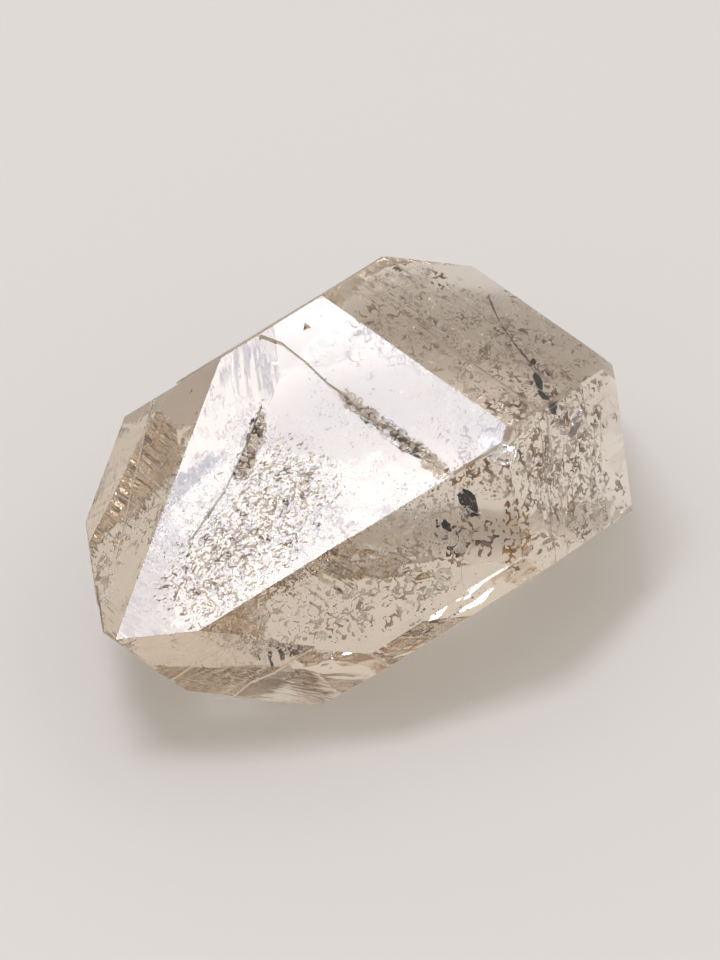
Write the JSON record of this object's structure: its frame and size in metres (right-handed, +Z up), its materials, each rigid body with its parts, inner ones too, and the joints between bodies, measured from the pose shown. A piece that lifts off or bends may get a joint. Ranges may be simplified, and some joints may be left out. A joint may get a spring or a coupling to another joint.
{
  "type": "herkimer diamond quartz crystal",
  "caption": "Loose, clear, double-pointed quartz crystal, short and stout, with flat faces, growth ledges and a small worn flat that it lies on.",
  "frame": {"origin": "middle of the crystal's box, on the plane of the flat that it lies on", "axes": "+Z up from the flat; +X along the crystal's length, from the larger point towards the hidden end; +Y to its left"},
  "size_m": [0.0254, 0.0164, 0.0131],
  "materials": {
    "clear_quartz": "clear, faintly smoky quartz with glassy flat faces",
    "healed_crack": "pale film of tiny flat bubbles in a healed crack inside the crystal",
    "carbon_speck": "dull black specks of carbon inside the crystal",
    "iron_film": "golden brown iron stain on a crack inside the crystal"
  },
  "bodies": {
    "root": {"crystal": "clear_quartz"}
  },
  "joints": []
}
